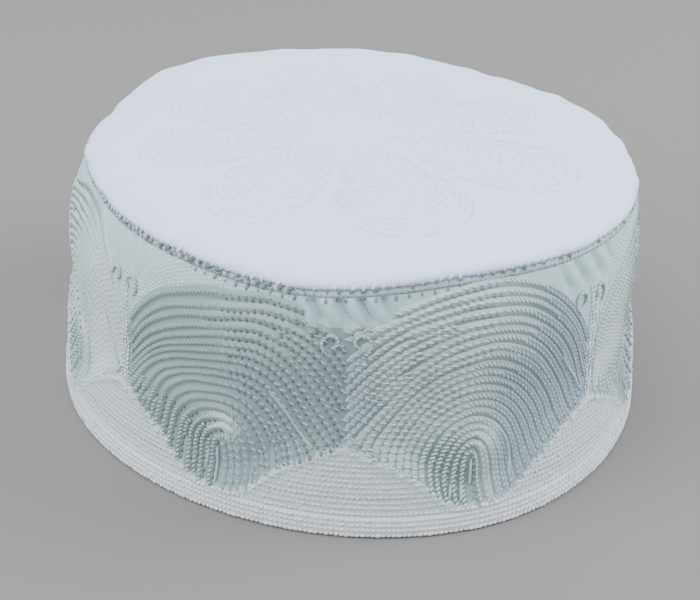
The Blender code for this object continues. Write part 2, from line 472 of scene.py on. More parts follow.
# Dark beads for needle holes, pits, blots and ticks: painted shade where the thread goes through
HOLE_SHADE = plain_finish("needle_hole_shade", (0.28, 0.35, 0.375))
SEAM_HOLE_SHADE = plain_finish("seam_hole_shade", (0.185, 0.24, 0.26))
ROUND_PIT_SHADE = plain_finish("round_pit_shade", (0.165, 0.225, 0.225))
TENT_PIT_SHADE = plain_finish("tent_pit_shade", (0.235, 0.30, 0.305))
SEAM_CLOTH = plain_finish("seam_cloth", (0.47, 0.57, 0.59), 0.85, 0.4)
# The flower thread is painted a little darker than the crown cloth: painted shade along its rows
CROWN_STITCH_SHADE = plain_finish("crown_stitch_shade", (0.655, 0.72, 0.885))
BAND_CLOTH = cloth_finish("band_cloth", PALE_GROUND, MOTIF_GROUND_AND_SHADE, SHEER_CLOTH)
HEM_CLOTH = plain_finish("hem_cloth", (0.66, 0.70, 0.75), 0.85, 0.4)
CROWN_CLOTH = plain_finish("crown_cloth", CROWN_WHITE, 0.9, 0.25)
for material in (CROWN_CLOTH, CROWN_STITCH_SHADE):
    crown_shader = material.node_tree.nodes["Principled BSDF"]
    crown_shader.inputs["Sheen Weight"].default_value = 0.35
    crown_shader.inputs["Sheen Tint"].default_value = SKY_SHEEN
print("finishes:", len(bpy.data.materials))

# %% [markdown]
# A motif is a nest of arches round an eye near its foot. On the real cap every arch is a narrow
# channel stitched through two cloths and filled with soft cord. Two kinds of motif take turns: a
# round one whose arches lean to the right, and a tent with a long straight left flank. Copying
# every row by hand would be slow, so for each kind a few arches are drawn by thirteen places, and
# every other row lies between two of them.

# %% The drawn arches
# From the left foot over the top to the right foot, in thousandths: distances from the motif's
# middle in motif widths, then shares of the seam height
ROUND_ARCHES = (
    ((-16, -18, -18, -16, -13, -6, 6, 18, 26, 29, 31, 31, 31),
     (100, 140, 180, 220, 260, 295, 310, 295, 260, 220, 180, 140, 100)),
    ((-50, -56, -60, -59, -50, -28, 18, 56, 76, 85, 88, 91, 94),
     (100, 150, 200, 250, 290, 330, 352, 335, 295, 250, 200, 150, 100)),
    ((-125, -138, -146, -144, -125, -70, 12, 75, 112, 130, 139, 142, 144),
     (120, 165, 220, 280, 335, 390, 412, 390, 345, 295, 240, 190, 130)),
    ((-190, -205, -212, -206, -175, -105, 6, 85, 135, 170, 194, 208, 213),
     (180, 230, 280, 330, 385, 440, 471, 462, 430, 380, 325, 270, 200)),
    ((-270, -280, -275, -250, -200, -110, 50, 130, 180, 225, 262, 294, 320),
     (260, 320, 380, 435, 482, 528, 557, 548, 520, 475, 420, 365, 290)),
    ((-480, -444, -400, -338, -255, -115, 105, 190, 245, 295, 345, 395, 450),
     (345, 400, 465, 530, 582, 638, 689, 678, 640, 580, 500, 430, 360)),
    ((-495, -445, -395, -325, -225, -80, 130, 215, 290, 355, 415, 462, 505),
     (400, 490, 555, 622, 685, 745, 800, 790, 750, 685, 600, 520, 430)),
    ((-500, -455, -405, -330, -215, -50, 150, 250, 345, 430, 490, 530, 570),
     (500, 590, 670, 750, 822, 872, 918, 920, 905, 870, 810, 740, 650)),
    ((-520, -470, -420, -345, -235, -60, 150, 250, 350, 440, 510, 560, 600),
     (560, 640, 720, 800, 872, 930, 968, 966, 952, 920, 870, 800, 720)),
)
TENT_ARCHES = (
    ((-62, -66, -67, -65, -60, -50, -31, -13, -4, -1, 0, 3, 6),
     (100, 150, 200, 250, 290, 315, 325, 312, 280, 240, 200, 150, 100)),
    ((-118, -128, -131, -126, -110, -75, -20, 20, 47, 62, 69, 73, 76),
     (110, 160, 210, 260, 315, 370, 390, 374, 336, 288, 234, 180, 120)),
    ((-185, -198, -200, -188, -160, -105, -35, 30, 80, 113, 131, 141, 146),
     (150, 210, 270, 330, 390, 447, 471, 455, 415, 360, 300, 240, 160)),
    ((-268, -277, -268, -235, -185, -115, -35, 40, 95, 143, 180, 209, 235),
     (240, 300, 360, 430, 495, 543, 562, 550, 520, 475, 415, 350, 240)),
    ((-375, -365, -325, -270, -205, -125, -20, 55, 120, 175, 230, 280, 320),
     (320, 390, 460, 537, 602, 650, 670, 660, 630, 585, 520, 430, 300)),
    ((-515, -450, -385, -315, -235, -130, 10, 100, 180, 255, 320, 380, 425),
     (390, 465, 548, 630, 705, 760, 783, 772, 738, 675, 585, 475, 350)),
    ((-530, -460, -390, -300, -190, -80, 30, 130, 220, 305, 375, 430, 485),
     (620, 715, 785, 840, 870, 884, 886, 872, 838, 773, 690, 590, 430)),
    ((-570, -480, -390, -290, -180, -70, 30, 140, 240, 340, 420, 475, 525),
     (790, 855, 895, 926, 951, 968, 970, 960, 925, 855, 765, 665, 540)),
)
ROUND_TOP = 0.958
TENT_TOP = 0.985
ARCH_PLACES = 13
ARCH_TOP_PLACE = 6
STEPS_BETWEEN = 14


# %% An arch at any height
def is_tent(motif):
    return motif % 2 == 0


def highest_top(motif):
    return TENT_TOP if is_tent(motif) else ROUND_TOP


def smooth_line(values, count):
    """Evenly counted places on a smooth curve through the given values."""
    numbered = np.column_stack([np.arange(float(len(values))), values])
    return read_table(numbered, np.linspace(0.0, len(values) - 1.0, count))


def arch_places(motif, top):
    """An arch with its top at a given height, as distances from the motif's middle and heights."""
    drawn = np.array(TENT_ARCHES if is_tent(motif) else ROUND_ARCHES) / 1000
    tops = drawn[:, 1, ARCH_TOP_PLACE]
    after = int(np.clip(np.searchsorted(tops, top), 1, len(tops) - 1))
    share = (top - tops[after - 1]) / (tops[after] - tops[after - 1])
    across, up = drawn[after - 1] * (1 - share) + drawn[after] * share
    count = (ARCH_PLACES - 1) * STEPS_BETWEEN + 1
    return smooth_line(across, count), smooth_line(up, count)


def under_top_arch(motifs, heights):
    """One under the highest arch of each motif, nought above it."""
    share = np.zeros(np.shape(motifs))
    for motif in range(MOTIFS):
        across, up = arch_places(motif, highest_top(motif))
        mine = np.floor(np.mod(motifs, MOTIFS)) == motif
        edge = np.interp(from_middle(motifs), across, up)
        share = np.where(mine, smooth_step((edge + 0.012 - heights) / 0.015), share)
    return share


print("places along an arch:", len(arch_places(0, 0.6)[0]))

# %% [markdown]
# The ground cloth of the side is one closed shell: an outer skin that follows the relief, an
# inner skin a wall's thickness further in, and the two edges between them. A grid of points on
# the rule above gives it, with close columns so that the puckers stay soft. Two shares on its
# points say where the cloth is dark inside a motif, which is partly painted shade of the grooves
# between rows, and where it is sheer under the seam.


# %% Pieces and shells from points
def new_piece(name, points, edges=(), faces=(), finish=None, values=None, sharp=None):
    """A piece from points and faces, with named values on its points and sharp edges by angle."""
    mesh = bpy.data.meshes.new(name)
    mesh.from_pydata(points.tolist(), edges, faces)
    for value_name, rows in (values or {}).items():
        rows = np.asarray(rows, np.float32)
        kind, field = ("FLOAT", "value") if rows.ndim == 1 else ("FLOAT_VECTOR", "vector")
        layer = mesh.attributes.new(value_name, kind, "POINT")
        layer.data.foreach_set(field, rows.ravel())
    if finish:
        mesh.materials.append(finish)
        mesh.shade_smooth()
    if sharp:
        mesh.set_sharp_from_angle(angle=radians(sharp))
    piece = bpy.data.objects.new(name, mesh)
    bpy.context.scene.collection.objects.link(piece)
    return piece


def triangle_count(piece):
    return sum(len(face.vertices) - 2 for face in piece.data.polygons)


def solid_from_rings(name, rings, finish, values=None):
    """A closed shell from closed rings of points, joined in order and from last to first."""
    count = len(rings[0])
    column = np.arange(count)
    after = (column + 1) % count
    quads = []
    for ring in range(len(rings)):
        low = ring * count
        high = ((ring + 1) % len(rings)) * count
        quads.append(np.stack([low + column, low + after, high + after, high + column], axis=1))
    faces = np.concatenate(quads).tolist()
    return new_piece(name, np.concatenate(rings), (), faces, finish, values, sharp=60)


# %% The ground cloth of the side
BAND_COLUMNS = 800
OUTER_ROWS = 60
INNER_ROWS = 14
TUCK_IN_HEM = 0.0008
TUCK_IN_SEAM = 0.0002

columns = np.arange(BAND_COLUMNS) * MOTIFS / BAND_COLUMNS
low_edge = (HEM_HEIGHT - TUCK_IN_HEM) / SEAM_HEIGHT
high_edge = 1.0 - (WELT_HEIGHT / 2 - TUCK_IN_SEAM) / SEAM_HEIGHT
outer_heights = np.linspace(low_edge, high_edge, OUTER_ROWS)
inner_heights = np.linspace(high_edge, low_edge, INNER_ROWS)
skins = [cloth_points(columns, height) for height in outer_heights]
skins += [cloth_points(columns, height, -BAND_WALL) for height in inner_heights]
grid_columns = np.tile(columns, OUTER_ROWS + INNER_ROWS)
grid_heights = np.repeat(np.r_[outer_heights, inner_heights], BAND_COLUMNS)
outside = np.repeat(np.r_[np.ones(OUTER_ROWS), np.zeros(INNER_ROWS)], BAND_COLUMNS)
over_foot = outside * rising(above_foot(grid_columns, grid_heights), -0.004, 0.016)
sewn_share = falling(border_window(grid_columns, grid_heights), 0.2, 0.4)
sewn_share = sewn_share * under_top_arch(grid_columns, grid_heights)
band_values = {"ground": over_foot * sewn_share, "sheer": over_foot * (1 - sewn_share)}
band_shell = solid_from_rings("band_cloth_shell", skins, BAND_CLOTH, band_values)
print("band cloth faces:", len(band_shell.data.polygons))

# %% [markdown]
# Every stitch on the cap is the same thing: a short plump bead of thread that lies along a row.
# One geometry recipe makes them all. It takes a set of lines, spaces points along them, and sets
# a small rounded bead on every point, turned along the row and standing off the cloth. Named
# inputs give the pitch and the bead's three sizes, its slant to the row and a little unevenness.


# %% The stitch recipe
def stitch_recipe():
    tree = bpy.data.node_groups.new("rows_of_stitches", "GeometryNodeTree")
    sockets = (
        ("Lines", "NodeSocketGeometry", None),
        ("Pitch", "NodeSocketFloat", 0.0019),
        ("Bead Length", "NodeSocketFloat", 0.0020),
        ("Bead Width", "NodeSocketFloat", 0.0013),
        ("Bead Height", "NodeSocketFloat", 0.0009),
        ("Slant", "NodeSocketFloat", 0.0),
        ("Unevenness", "NodeSocketFloat", 0.1),
        ("Seed", "NodeSocketInt", 1),
        ("Thread", "NodeSocketMaterial", None),
    )
    for name, kind, usual in sockets:
        socket = tree.interface.new_socket(name, in_out="INPUT", socket_type=kind)
        if usual is not None:
            socket.default_value = usual
    tree.interface.new_socket("Stitches", in_out="OUTPUT", socket_type="NodeSocketGeometry")
    bench = Bench(tree)
    given = {wire.socket.name: wire for wire in bench.node("NodeGroupInput")}

    def carried(name, kind):
        """A value that the points of the lines carry."""
        inputs = {"Name": name}
        return bench.node("GeometryNodeInputNamedAttribute", {"data_type": kind}, inputs)[0]

    def chance(seed):
        """A number between -1 and 1 for each point."""
        inputs = {2: -1.0, 3: 1.0, "Seed": seed}
        return bench.node("FunctionNodeRandomValue", {"data_type": "FLOAT"}, inputs)[1]

    lines = bench.node("GeometryNodeMeshToCurve", None, {"Mesh": given["Lines"]})[0]
    spacing = {"Curve": lines, "Length": given["Pitch"]}
    spaced = bench.node("GeometryNodeResampleCurve", {"mode": "LENGTH"}, spacing)[0]

    facing = {"Vector": carried("facing", "FLOAT_VECTOR")}
    turned = bench.node("FunctionNodeAlignRotationToVector", {"axis": "Z"}, facing)[0]
    along = {"Rotation": turned, "Vector": carried("along", "FLOAT_VECTOR")}
    pivot = {"axis": "X", "pivot_axis": "Z"}
    turned = bench.node("FunctionNodeAlignRotationToVector", pivot, along)[0]
    slant = given["Slant"] + carried("sway", "FLOAT") + chance(given["Seed"]) * given["Unevenness"]
    spin = bench.node("ShaderNodeCombineXYZ", None, {"Z": slant})[0]
    local = {"rotation_space": "LOCAL"}
    spun = {"Rotation": turned, "Rotate By": spin}
    turned = bench.node("FunctionNodeRotateRotation", local, spun)[0]

    growth = 1.0 + chance(given["Seed"] + 7) * given["Unevenness"]
    plump = carried("plump", "FLOAT")
    sides = {
        "X": given["Bead Length"] * carried("reach", "FLOAT") * growth,
        "Y": given["Bead Width"] * plump * growth,
        "Z": given["Bead Height"] * plump,
    }
    bead_size = bench.node("ShaderNodeCombineXYZ", None, sides)[0]
    ball = {"Segments": 6, "Rings": 3, "Radius": 0.5}
    bead = bench.node("GeometryNodeMeshUVSphere", None, ball)[0]
    bead = bench.node("GeometryNodeSetShadeSmooth", None, {"Geometry": bead})[0]
    places = {"Points": spaced, "Instance": bead, "Rotation": turned, "Scale": bead_size}
    placed = bench.node("GeometryNodeInstanceOnPoints", None, places)[0]
    real = bench.node("GeometryNodeRealizeInstances", None, {"Geometry": placed})[0]
    finish = {"Geometry": real, "Material": given["Thread"]}
    sewn = bench.node("GeometryNodeSetMaterial", None, finish)[0]
    bench.node("NodeGroupOutput", None, {"Stitches": sewn})
    return tree


STITCHES = stitch_recipe()
print("stitch recipe nodes:", len(STITCHES.nodes))

# %% [markdown]
# A row of sewing is a line of points on the cloth. Each point also carries what the stitch on it
# needs to know: where the cloth faces, how the row runs, a tint, how plump and how long the
# stitch is, and how it leans. The needle then needs one short list for each kind of stitch.

# %% Lines for the needle
USUAL_VALUES = {"tint": 0.5, "plump": 1.0, "reach": 1.0, "sway": 0.0, "wide": 1.0, "tone": 0.5}
STITCH_VALUES = ("facing", "along", "tint", "plump", "reach", "sway")

# Every sewn piece with its material slot, in the order of sewing
sewn_pieces = []


def sewing_line(points, facing, **values):
    """A line of sewing with its directions and the values of each of its points."""
    line = {"points": points, "facing": facing, "along": unit(np.gradient(points, axis=0))}
    for key, usual in USUAL_VALUES.items():
        line[key] = np.ones(len(points)) * values.get(key, usual)
    return line


def cloth_line(motifs, heights, lift, **values):
    """A line of sewing on the side, lifted off the cloth by a distance in metres."""
    motifs, heights = np.broadcast_arrays(np.asarray(motifs, float), np.asarray(heights, float))
    facing = cloth_facing(motifs, heights)
    return sewing_line(cloth_points(motifs, heights, lift), facing, **values)


def lines_to_mesh(name, lines):
    """All the lines as one mesh of edges that carries the needed values on its points."""
    edges = []
    start = 0
    for line in lines:
        count = len(line["points"])
        edges += [(start + i, start + i + 1) for i in range(count - 1)]
        start += count
    values = {key: np.concatenate([line[key] for line in lines]) for key in STITCH_VALUES}
    return new_piece(name, np.concatenate([line["points"] for line in lines]), edges, values=values)


def apply_recipe(piece, tree, choices):
    """Run a geometry recipe on a piece and keep its result as a plain mesh."""
    modifier = piece.modifiers.new("recipe", "NODES")
    modifier.node_group = tree
    for item in tree.interface.items_tree:
        if item.name in choices:
            modifier[item.identifier] = choices[item.name]
    seen = piece.evaluated_get(bpy.context.evaluated_depsgraph_get())
    made = bpy.data.meshes.new_from_object(seen)
    made.name = piece.name
    piece.modifiers.remove(modifier)
    piece.data = made


def sew(name, lines, thread, stitch, seed, slot="band_cloth"):
    """Sew one kind of stitch along lines: pitch, length, width, height in mm, slant, unevenness."""
    pitch, length, width, height, slant, uneven = stitch
    piece = lines_to_mesh(name, lines)
    apply_recipe(piece, STITCHES, {
        "Pitch": pitch / 1000,
        "Bead Length": length / 1000,
        "Bead Width": width / 1000,
        "Bead Height": height / 1000,
        "Slant": radians(slant),
        "Unevenness": uneven,
        "Seed": seed,
        "Thread": thread,
    })
    sewn_pieces.append((piece, slot))
    print(name, "triangles:", triangle_count(piece))


# %% [markdown]
# Under the stitches of a row lies its cord: a low half-round ridge, nearly as wide as the rows
# are apart, so that only thin dark grooves are left between two rows. It is swept along the row
# as a closed six-sided section that grows narrower at both ends. A swept mesh is used here and
# not a bevelled curve, because its width and tone change along the row.

# %% Cords under the stitches
CORD_SECTION = ((-1.0, -0.1), (-0.72, 0.72), (0.0, 1.0), (0.72, 0.72), (1.0, -0.1), (0.0, -0.7))
CORD_STEP = 0.0019
CORD_END = 0.60


def even_places(line, step):
    """How far along the line's points each evenly spaced place lies."""
    lengths = np.linalg.norm(np.diff(line["points"], axis=0), axis=1)
    reached = np.r_[0.0, np.cumsum(lengths)]
    count = max(int(round(reached[-1] / step)), 3)
    return np.interp(np.linspace(0.0, reached[-1], count + 1), reached, np.arange(len(reached)))


def along_line(values, places):
    numbers = np.arange(len(values))
    if values.ndim == 1:
        return np.interp(places, numbers, values)
    return np.stack([np.interp(places, numbers, column) for column in values.T], axis=-1)


def lay_cords(name, lines, finish, half_width, height, step=CORD_STEP):
    """Closed cords along lines; half width and height in metres, tone taken from each line."""
    points, faces, tones = [], [], []
    sides = len(CORD_SECTION)
    first = 0
    for line in lines:
        places = even_places(line, step)
        centre = along_line(line["points"], places)
        facing = unit(along_line(line["facing"], places))
        across = np.cross(facing, unit(np.gradient(centre, axis=0)))
        count = len(centre)
        from_end = np.minimum(np.arange(count), np.arange(count)[::-1])
        taper = np.minimum(1.0, CORD_END + (1.0 - CORD_END) * from_end)
        wide = taper * along_line(line["wide"], places)
        for beside, above in CORD_SECTION:
            ring = centre + across * (beside * half_width * wide)[:, None]
            points.append(ring + facing * (above * height * taper)[:, None])
        tones.append(np.tile(along_line(line["tone"], places), sides))
        here = first + np.arange(count - 1)
        for side in range(sides):
            low = here + side * count
            high = here + (side + 1) % sides * count
            faces += np.stack([low, high, high + 1, low + 1], 1).tolist()
        corners = first + np.arange(sides) * count
        faces.append(corners[::-1].tolist())
        faces.append((corners + count - 1).tolist())
        first += sides * count
    tints = {"tint": np.concatenate(tones)}
    piece = new_piece(name, np.concatenate(points), (), faces, finish, tints, sharp=70)
    sewn_pieces.append((piece, "band_cloth"))
    print(name, "triangles:", triangle_count(piece))


# %% [markdown]
# Rows are not sewn everywhere. An arch is cut at the borders of its motif, at its foot, at the
# gathers under the seam and round the small curls. Where two arches spread far apart, short rows
# fill the gap between them, and above the round motifs a few more rows reach towards the border.

# %% Where the rows run
ROUND_PITCH = 0.0400
TENT_PITCH = 0.0330
BORDER_LIMIT = 0.498
ROUND_LEFT_LIMIT = -0.442
FOOT_MARGIN = 0.004
TOP_UNEVENNESS = 0.0035
CURL_ASIDE = 0.050
CURL_HEIGHT = 0.822
CURL_REACH = 0.0031
GATHER_LIMIT = 0.45
WIDE_SPREAD = 1.32
NARROWEST = 0.6
WIDEST = 1.4
LOWEST_TOP = 0.30
ROWS_ABOVE = 4


def row_pitch(motif):
    return TENT_PITCH if is_tent(motif) else ROUND_PITCH


def row_spread(motif, low_top, high_top):
    """How far apart two arches lie at each place along them, in metres."""
    low_across, low_up = arch_places(motif, low_top)
    high_across, high_up = arch_places(motif, high_top)
    along = unit(np.stack([
        np.gradient(low_across + high_across) * MOTIF_WIDTH,
        np.gradient(low_up + high_up) * SEAM_HEIGHT,
    ], axis=-1))
    across_gap = (high_across - low_across) * MOTIF_WIDTH
    up_gap = (high_up - low_up) * SEAM_HEIGHT
    return np.abs(across_gap * along[:, 1] - up_gap * along[:, 0])


def off_curls(motifs, heights):
    """Distance to the nearest small curl, in metres."""
    past_border = np.mod(motifs + 0.5, 1.0) - 0.5
    aside = (np.abs(past_border) - CURL_ASIDE) * MOTIF_WIDTH
    return np.hypot(aside, (heights - CURL_HEIGHT) * SEAM_HEIGHT)


def unbroken_runs(keep, fewest=1):
    """Slices of the runs of kept places that are long enough."""
    edges = np.flatnonzero(np.diff(np.r_[False, keep, False].astype(int)))
    return [slice(*run) for run in zip(edges[::2], edges[1::2]) if run[1] - run[0] >= fewest]


def arch_runs(motif, top, wanted=True):
    """The sewn parts of an arch, each with how wide its row is at every place."""
    across, heights = arch_places(motif, top)
    motifs = motif + 0.5 + across
    keep = wanted & (np.abs(across) < BORDER_LIMIT)
    keep &= heights > read_table(MOTIF_FOOT, np.abs(across)) + FOOT_MARGIN
    if not is_tent(motif):
        keep &= across > ROUND_LEFT_LIMIT
    inside = np.clip(motifs, motif + 0.001, motif + 0.999)
    keep &= border_window(inside, heights) < GATHER_LIMIT
    keep &= off_curls(motifs, heights) > 0.5 * CURL_REACH
    half_pitch = row_pitch(motif) / 2
    spread = row_spread(motif, top - half_pitch, top + half_pitch) / (2 * half_pitch * SEAM_HEIGHT)
    spread = np.where(spread > WIDE_SPREAD, spread / 2, spread)
    spread = np.clip(spread, NARROWEST, WIDEST)
    return [(motifs[run], heights[run], spread[run]) for run in unbroken_runs(keep, 5)]


def motif_runs(motif):
    """The runs of all arches, with the short rows and those above a round motif."""
    pitch = row_pitch(motif)
    tops = np.arange(highest_top(motif), LOWEST_TOP, -pitch)
    chance = np.random.default_rng(motif + 3)
    tops = tops + chance.uniform(-TOP_UNEVENNESS, TOP_UNEVENNESS, len(tops))
    runs = []
    for top in tops:
        runs += arch_runs(motif, top)
    if not is_tent(motif):
        for top in tops[0] + pitch * np.arange(1, ROWS_ABOVE + 1):
            across, heights = arch_places(motif, top)
            runs += arch_runs(motif, top, (across > 0.30) & (heights < 0.905))
    for high_top, low_top in zip(tops[:-1], tops[1:]):
        wide = row_spread(motif, low_top, high_top) > WIDE_SPREAD * pitch * SEAM_HEIGHT
        runs += arch_runs(motif, (high_top + low_top) / 2, wide)
    return runs


print("rows of the first motif:", len(motif_runs(0)))

# %% [markdown]
# The same row changes as it goes round. It carries painted shade at the right of an eye, is pale
# round the eye, carries painted light on some flanks where more light falls, and is darker again
# beside every second border. Its stitches are close strokes, two rows of fine dashes, or open
# strokes set apart. Each of these is a soft share of the place on the cap, so the change is
# gradual as on the real one, and a little chance in each row keeps neighbours from changing
# together.

# %% Tone and openness along the rows
STITCH_LIFT = 0.00042
ROW_WAVER = 0.0016
OPEN_SHARE = 0.40
LEGS_SHARE = 0.4
LEVEL_SWAY = -0.36
CLIMB_SWAY = -0.62

# Plain tone, then what painted shade, painted flank light, eye, legs and edge add to it
STITCH_TONE = (0.44, -0.36, 0.50, 0.50, 0.20, -0.20)
CORD_TONE = (0.49, -0.24, 0.35, 0.62, -0.47, -0.12)
CORD_OPEN_TONE = 0.10
# Painted shade: closed cords high on the side are painted darker
CORD_HIGH_SHADE = -0.14

# How much painted light pales the left and the right flank of each motif, where more light falls
FLANK_PAINTED_LIGHT = (
    (0.0, 0.0),
    (0.9, 0.3),
    (0.5, 0.0),
    (0.0, 0.5),
    (0.5, 0.0),
    (0.0, 0.4),
    (0.1, 0.9),
    (0.0, 0.0),
)


def openness(motifs, heights):
    """One where the stitches are open strokes over dark cloth, nought where they close up."""
    reach = 0.30 + 0.12 * rising(heights, 0.55, 0.3)
    return falling(to_border(motifs, 0.0), reach, 0.26)


def left_legs(motifs, heights):
    """One on the left legs of the inner arches, below the eye."""
    aside = from_middle(motifs)
    tent = np.mod(np.floor(motifs), 2.0) == 0
    near = np.where(tent, rising(aside, -0.26, 0.10), 1.0)
    return falling(heights, 0.33, 0.12) * near * falling(aside, -0.02, 0.06)


def blended(tones, shares):
    return tones[0] + sum(tone * share for tone, share in zip(tones[1:], shares))


def motif_rows(motif):
    """All the rows of one motif as sewing lines, with tone, slant and openness of each place."""
    left_painted_light, right_painted_light = FLANK_PAINTED_LIGHT[motif]
    chance = np.random.default_rng(motif + 60)
    rows = []
    for motifs, heights, spread in motif_runs(motif):
        heights = heights + ROW_WAVER * np.sin(26.0 * motifs + chance.uniform(0.0, 2 * pi))
        aside = from_middle(motifs)
        climb = np.arctan2(np.gradient(heights) * SEAM_HEIGHT, np.gradient(motifs) * MOTIF_WIDTH)
        turned = rising(np.degrees(climb), -60.0, 110.0)
        # Painted light: flanks where more light falls are painted paler, and no painted shade is
        # laid there
        pale = left_painted_light * rising(-aside, -0.05, 0.3) + right_painted_light * rising(aside, -0.05, 0.3)
        shade = rising(aside, -0.02, 0.18) * falling(heights, 0.55, 0.25)
        if is_tent(motif):
            shade = np.maximum(shade, 0.8 * rising(aside, 0.12, 0.18)) * (1 - pale)
        else:
            shade = shade * (1 - pale) * falling(aside, 0.30, 0.12)
        eye = bell(aside, 0.02, 0.07) * bell(heights, 0.37, 0.05)
        legs = left_legs(motifs, heights)
        edge = falling(to_border(motifs, 0.0), 0.04, 0.14)
        shares = (shade, pale, eye, legs, edge)
        is_open = openness(motifs, heights) * (1 - 0.8 * pale) * (legs < LEGS_SHARE)
        is_open = np.clip(is_open + chance.uniform(-0.30, 0.20), 0.0, 1.0)
        change = 0.22 + chance.uniform(-0.14, 0.10)
        cord_tone = blended(CORD_TONE, shares) + CORD_OPEN_TONE * is_open
        row = cloth_line(
            motifs, heights, STITCH_LIFT,
            tint=blended(STITCH_TONE, shares),
            tone=cord_tone + CORD_HIGH_SHADE * rising(heights, 0.45, 0.2) * (1 - is_open),
            wide=spread,
            sway=LEVEL_SWAY + CLIMB_SWAY * turned,
            reach=(0.75 + 0.25 * turned) * (0.5 + 0.5 * spread) * (1 - 0.3 * legs),
            plump=1.0 - 0.35 * pale - 0.20 * edge,
        )
        row.update(legs=legs, edge=edge, climb=climb, open=is_open)
        row["double"] = (turned < change) & (legs < LEGS_SHARE) & (is_open < OPEN_SHARE)
        row["pit"] = np.where(legs < LEGS_SHARE, rising(is_open, 0.5, 0.4), 1.0)
        rows.append(row)
    return rows


# %% [markdown]
# Now the motifs are sewn. On top and on the left of a motif one row of long slanted strokes
# wraps each cord. At the right two staggered rows of short dashes hold it down, one on each side
# of its crest. Near every second border the strokes are open: they stand apart, keep one
# direction on the cap whatever way the row runs, and needle pits lie between them, dark beads of
# painted shade in the holes. So each row is cut where its stitches change, and every kind is
# sewn in one go.

# %% The motifs
CORD_HEIGHT = 0.00036
CORD_SHARE = 0.475
DASHES_ASIDE = 0.5
DASHES_DOWN = 0.00012
PITS_ASIDE = -0.70
PITS_DOWN = 0.00020

# Each kind of stitch in a motif, its sizes in mm, slant, unevenness, and first seed
MOTIF_STITCHES = {
    "open_strokes": ((2.05, 2.1, 0.68, 0.52, 0.0, 0.22), 71),
    "strokes": ((1.16, 2.4, 0.66, 0.42, 0.0, 0.14), 1),
    "dashes": ((1.50, 1.6, 0.62, 0.60, 0.0, 0.25), 11),
    "pits": ((1.80, 1.6, 0.86, 0.56, 0.0, 0.30), 41),
}

# Finishes of each kind of motif, and the direction in degrees that its open strokes and its pits
# keep on the cap, with what the edge adds to it
TENT_LOOK = (TENT_CORD, TENT_THREAD, TENT_PIT_SHADE, (-4.0, -23.0), (-35.0, -27.0))
ROUND_LOOK = (ROUND_CORD, ROUND_THREAD, ROUND_PIT_SHADE, (-27.0, 0.0), (-62.0, 0.0))


def cut_line(line, keep):
    """The unbroken runs of a line where a condition holds."""
    return [{key: values[run] for key, values in line.items()} for run in unbroken_runs(keep, 3)]


def beside_cord(line, aside, down, first=0):
    """The line moved sideways off the crest of its cord and down towards the cloth."""
    across = np.cross(line["facing"], line["along"])
    points = line["points"] + aside * line["wide"][:, None] * across - down * line["facing"]
    return {key: values[first:] for key, values in dict(line, points=points).items()}


def lying_at(line, direction):
    """The line with stitches that keep one direction on the cap, whatever way the row runs."""
    middle, at_edge = direction
    sway = np.radians(middle + at_edge * line["edge"]) - line["climb"]
    return dict(line, sway=sway, reach=np.ones(len(sway)))


def cut_by_stitch(row, number, half_width, strokes_lie, pits_lie):
    """The parts of a row for each kind of stitch; every second row starts a little later."""
    later = 2 * (number % 2)
    parts = {"strokes": [], "open_strokes": [], "dashes": [], "pits": []}
    is_open = row["open"] >= OPEN_SHARE
    parts["strokes"] = cut_line(row, ~row["double"] & ~is_open)
    for run in cut_line(row, is_open):
        parts["open_strokes"].append(lying_at(beside_cord(run, 0.0, 0.0, later), strokes_lie))
    for run in cut_line(row, row["double"]):
        parts["dashes"].append(beside_cord(run, -DASHES_ASIDE * half_width, DASHES_DOWN))
        parts["dashes"].append(beside_cord(run, DASHES_ASIDE * half_width, DASHES_DOWN, 1))
    for run in cut_line(row, (row["pit"] > 0.2) | (row["legs"] > LEGS_SHARE)):
        run["plump"] = run["plump"] * (0.5 + 0.6 * run["pit"] + 0.35 * run["edge"])
        run = beside_cord(run, PITS_ASIDE * half_width, PITS_DOWN, 1 + later)
        parts["pits"].append(lying_at(run, pits_lie))
    return parts


for motif in range(MOTIFS):
    cord, thread, pit, strokes_lie, pits_lie = TENT_LOOK if is_tent(motif) else ROUND_LOOK
    half_width = CORD_SHARE * row_pitch(motif) * SEAM_HEIGHT
    rows = motif_rows(motif)
    cords = [dict(row, points=row["points"] - STITCH_LIFT * row["facing"]) for row in rows]
    lay_cords(f"motif_cords_{motif + 1}", cords, cord, half_width, CORD_HEIGHT)
    cut_rows = [
        cut_by_stitch(row, number, half_width, strokes_lie, pits_lie)
        for number, row in enumerate(rows)
    ]
    for kind, (stitch, first_seed) in MOTIF_STITCHES.items():
        lines = sum([parts[kind] for parts in cut_rows], [])
        # Pits take the dark pit finish: painted shade in the needle holes
        finish = pit if kind == "pits" else thread
        sew(f"motif_{kind}_{motif + 1}", lines, finish, stitch, motif + first_seed)

# %% [markdown]
# Here and there the cloth is pinched up beside a row and shows as a smooth pale fold, and between
# the legs of an arch a plain strip is left. Both are cords of their own without stitches, drawn
# by a few places each like the arches.

# %% Pinched folds and plain fingers
# In thousandths, as the arches are
ROUND_FOLDS = (
    ((219, 256, 294, 325, 356, 388), (584, 541, 492, 444, 406, 374)),
    ((-36, -38, -42), (245, 215, 175)),
    ((4, 5, 6), (270, 200, 125)),
)
TENT_FOLDS = (
    ((356, 394, 431, 450, 475), (622, 557, 503, 460, 428)),
    ((88, 112, 125, 128, 125), (390, 347, 298, 234, 191)),
    ((-28, -30, -32), (288, 240, 185)),
    ((-68, -74), (190, 135)),
    ((-108, -118), (200, 150)),
)
FOLD_LIFT = 0.0003
FOLD_HALF_WIDTH = 0.00038
FOLD_HEIGHT = 0.00055
FOLD_STEP = 0.0012


